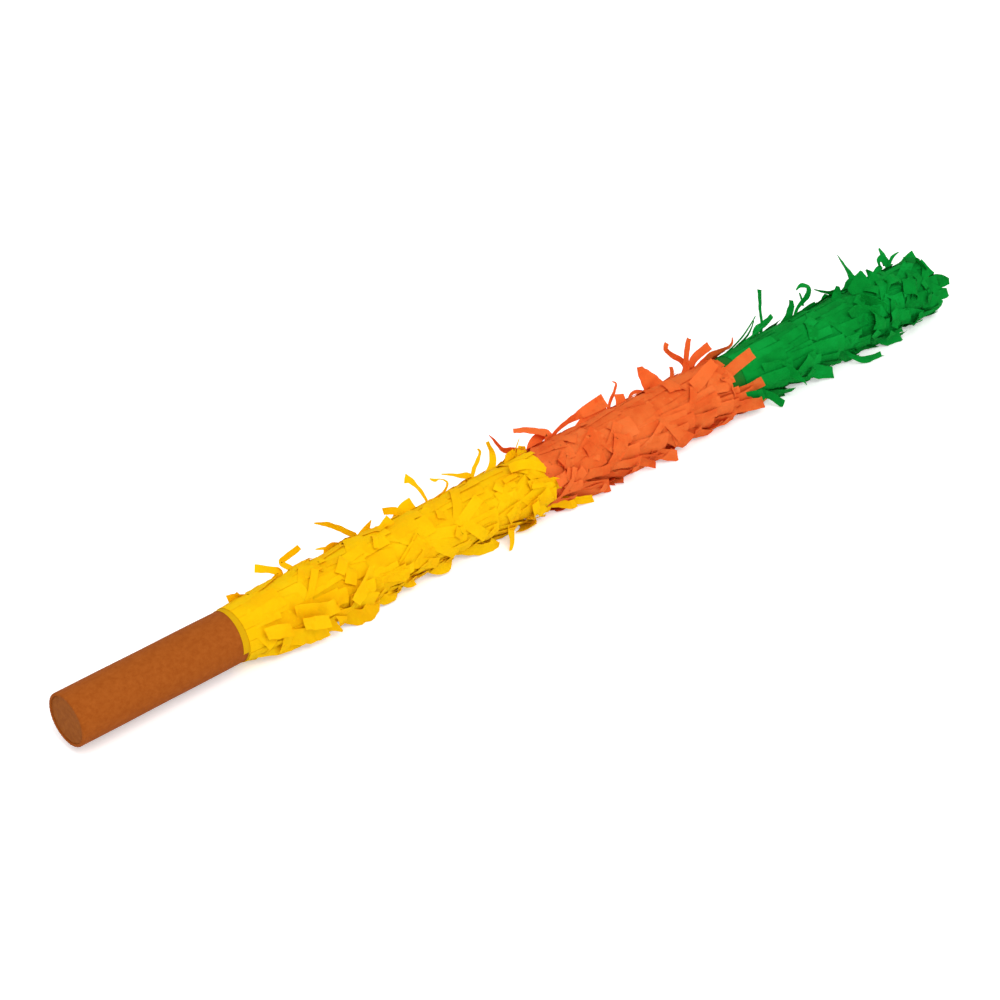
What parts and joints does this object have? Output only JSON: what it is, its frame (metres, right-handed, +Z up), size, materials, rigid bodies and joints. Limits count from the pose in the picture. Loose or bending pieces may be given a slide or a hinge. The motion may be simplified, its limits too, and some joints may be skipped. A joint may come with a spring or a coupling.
{
  "type": "pinata stick",
  "caption": "Closed cardboard tube with a bare kraft-paper grip at one end, dressed along the rest in bands of fringed tissue paper: yellow, orange and green.",
  "frame": {"origin": "centre of the butt plug's outer face, on the tube's axis", "axes": "+X along the tube from the grip to the tip, +Z up with the stick lying level, +Y across it"},
  "size_m": [0.7205, 0.0653, 0.0517],
  "materials": {
    "tube_board": "matte",
    "kraft_paper": "matte",
    "plug_card": "matte",
    "yellow_tissue": "matte",
    "orange_tissue": "matte",
    "green_tissue": "matte"
  },
  "bodies": {
    "root": {"core_tube": "tube_board", "kraft_wrap": "kraft_paper", "butt_plug": "plug_card", "tip_plug": "plug_card", "yellow_fringe_1": "yellow_tissue", "yellow_fringe_2": "yellow_tissue", "yellow_fringe_3": "yellow_tissue", "yellow_fringe_4": "yellow_tissue", "yellow_fringe_5": "yellow_tissue", "yellow_fringe_6": "yellow_tissue", "yellow_fringe_7": "yellow_tissue", "yellow_fringe_8": "yellow_tissue", "yellow_fringe_9": "yellow_tissue", "orange_fringe_1": "orange_tissue", "orange_fringe_2": "orange_tissue", "orange_fringe_3": "orange_tissue", "orange_fringe_4": "orange_tissue", "orange_fringe_5": "orange_tissue", "orange_fringe_6": "orange_tissue", "orange_fringe_7": "orange_tissue", "orange_fringe_8": "orange_tissue", "green_fringe_1": "green_tissue", "green_fringe_2": "green_tissue", "green_fringe_3": "green_tissue", "green_fringe_4": "green_tissue", "green_fringe_5": "green_tissue", "green_fringe_6": "green_tissue", "green_fringe_7": "green_tissue", "green_fringe_8": "green_tissue"}
  },
  "joints": []
}
